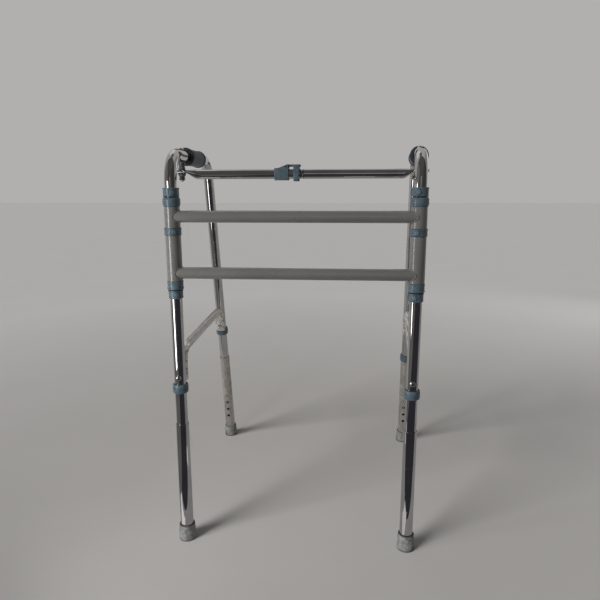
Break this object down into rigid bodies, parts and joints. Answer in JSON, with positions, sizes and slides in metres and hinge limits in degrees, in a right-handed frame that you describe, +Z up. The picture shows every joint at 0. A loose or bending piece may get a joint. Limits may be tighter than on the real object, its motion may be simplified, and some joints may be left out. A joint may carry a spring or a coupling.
{
  "type": "folding walker",
  "caption": "Folding walking frame with bent tube sides that hinge on a painted crossbar frame, a locking top brace, hand grips and height-adjusting legs with rubber feet.",
  "frame": {"origin": "on the floor, below the middle of the walker's bounding box", "axes": "+Z up from the floor, +Y from the crossbars towards the walking person, +X from the side frame with the lock on its bar to the other side frame"},
  "size_m": [0.592, 0.5747, 0.874],
  "materials": {
    "chrome_steel": "polished chrome plate on steel tube",
    "satin_rail_steel": "satin plated steel tube",
    "grey_paint": "semi-gloss warm grey paint",
    "slate_plastic": "moulded, fine matte",
    "dark_grip_vinyl": "soft dark vinyl, matte",
    "pale_foot_rubber": "light grey moulded rubber",
    "zinc_fastener": "zinc plated",
    "spring_steel": "bright spring strip"
  },
  "bodies": {
    "front_frame": {"upper_crossbar": "grey_paint", "lower_crossbar": "grey_paint", "left_upper_bush": "slate_plastic", "left_lower_bush": "slate_plastic", "right_upper_bush": "slate_plastic", "right_lower_bush": "slate_plastic"},
    "left_side": {"left_side_tube": "chrome_steel", "left_side_rail": "satin_rail_steel", "left_grip": "dark_grip_vinyl", "left_top_collar": "slate_plastic", "left_top_collar_screw": "zinc_fastener", "left_middle_collar": "slate_plastic", "left_middle_collar_screw": "zinc_fastener", "left_bottom_collar": "slate_plastic", "left_bottom_collar_screw": "zinc_fastener", "left_bar_spacer": "slate_plastic", "left_pivot_bolt": "zinc_fastener", "left_pivot_washer": "slate_plastic", "left_pivot_nut": "zinc_fastener", "left_front_rail_bolt": "zinc_fastener", "left_front_leg_ring": "slate_plastic", "left_rear_rail_bolt": "zinc_fastener", "left_rear_leg_ring": "slate_plastic"},
    "left_bar": {"left_top_bar": "chrome_steel", "left_bar_plug": "chrome_steel", "lock_body": "slate_plastic", "lock_pin": "zinc_fastener"},
    "left_front_leg_extension": {"left_front_extension": "chrome_steel", "left_front_foot": "pale_foot_rubber"},
    "left_front_button": {"left_front_snap_clip": "spring_steel"},
    "left_rear_leg_extension": {"left_rear_extension": "chrome_steel", "left_rear_foot": "pale_foot_rubber"},
    "left_rear_button": {"left_rear_snap_clip": "spring_steel"},
    "right_side": {"right_side_tube": "chrome_steel", "right_side_rail": "satin_rail_steel", "right_grip": "dark_grip_vinyl", "right_top_collar": "slate_plastic", "right_top_collar_screw": "zinc_fastener", "right_middle_collar": "slate_plastic", "right_middle_collar_screw": "zinc_fastener", "right_bottom_collar": "slate_plastic", "right_bottom_collar_screw": "zinc_fastener", "right_bar_spacer": "slate_plastic", "right_pivot_bolt": "zinc_fastener", "right_pivot_washer": "slate_plastic", "right_pivot_nut": "zinc_fastener", "right_front_rail_bolt": "zinc_fastener", "right_front_leg_ring": "slate_plastic", "right_rear_rail_bolt": "zinc_fastener"},
    "right_bar": {"right_top_bar": "chrome_steel", "right_bar_plug": "chrome_steel"},
    "right_front_leg_extension": {"right_front_extension": "chrome_steel", "right_front_foot": "pale_foot_rubber"},
    "right_front_button": {"right_front_snap_clip": "spring_steel"},
    "right_rear_leg_extension": {"right_rear_extension": "chrome_steel", "right_rear_foot": "pale_foot_rubber", "right_rear_leg_ring": "slate_plastic"},
    "right_rear_button": {"right_rear_snap_clip": "spring_steel"},
    "lock_lever": {"lock_lever": "slate_plastic"}
  },
  "joints": [
    {"name": "left_side_fold", "type": "hinge", "parent": "front_frame", "child": "left_side", "pos_m": [-0.26704, -0.26775, 0.65], "axis": [0, 0, -1], "range_deg": [0, 86]},
    {"name": "left_bar_swing", "type": "hinge", "parent": "left_side", "child": "left_bar", "pos_m": [-0.26856, -0.18036, 0.8153], "axis": [0, 0, 1], "range_deg": [0, 75]},
    {"name": "left_front_leg_slide", "type": "slide", "parent": "left_side", "child": "left_front_leg_extension", "axis": [0, 0, -1], "range_m": [-0.0508, 0.0254]},
    {"name": "left_front_button_press", "type": "slide", "parent": "left_side", "child": "left_front_button", "axis": [0.0175, -0.9998, 0], "range_m": [0, 0.0045], "stiffness_N_per_m": 900, "springref_m": -0.002, "deforming": ["left_front_snap_clip"]},
    {"name": "left_rear_leg_slide", "type": "slide", "parent": "left_side", "child": "left_rear_leg_extension", "axis": [-0.0042, 0.2385, -0.9711], "range_m": [-0.0508, 0.0254]},
    {"name": "left_rear_button_press", "type": "slide", "parent": "left_side", "child": "left_rear_button", "axis": [-0.0169, 0.971, 0.2385], "range_m": [0, 0.0045], "stiffness_N_per_m": 900, "springref_m": -0.002, "deforming": ["left_rear_snap_clip"]},
    {"name": "right_side_fold", "type": "hinge", "parent": "front_frame", "child": "right_side", "pos_m": [0.22796, -0.26775, 0.65], "axis": [0, 0, 1], "range_deg": [0, 48]},
    {"name": "right_bar_swing", "type": "hinge", "parent": "right_side", "child": "right_bar", "pos_m": [0.23588, -0.18071, 0.8153], "axis": [0, 0, -1], "range_deg": [0, 75]},
    {"name": "right_front_leg_slide", "type": "slide", "parent": "right_side", "child": "right_front_leg_extension", "axis": [0, 0, -1], "range_m": [-0.0508, 0.0254]},
    {"name": "right_front_button_press", "type": "slide", "parent": "right_side", "child": "right_front_button", "axis": [-0.0906, -0.9959, 0], "range_m": [0, 0.0045], "stiffness_N_per_m": 900, "springref_m": -0.002, "deforming": ["right_front_snap_clip"]},
    {"name": "right_rear_leg_slide", "type": "slide", "parent": "right_side", "child": "right_rear_leg_extension", "axis": [0.0216, 0.2376, -0.9711], "range_m": [-0.0508, 0.0254]},
    {"name": "right_rear_button_press", "type": "slide", "parent": "right_side", "child": "right_rear_button", "axis": [0.088, 0.9671, 0.2385], "range_m": [0, 0.0045], "stiffness_N_per_m": 900, "springref_m": -0.002, "deforming": ["right_rear_snap_clip"]},
    {"name": "lock_lever_lift", "type": "hinge", "parent": "left_bar", "child": "lock_lever", "pos_m": [-0.04304, -0.18036, 0.8308], "axis": [0, -1, 0], "range_deg": [0, 40], "stiffness_Nm_per_rad": 0.1, "springref_deg": -22.92}
  ]
}
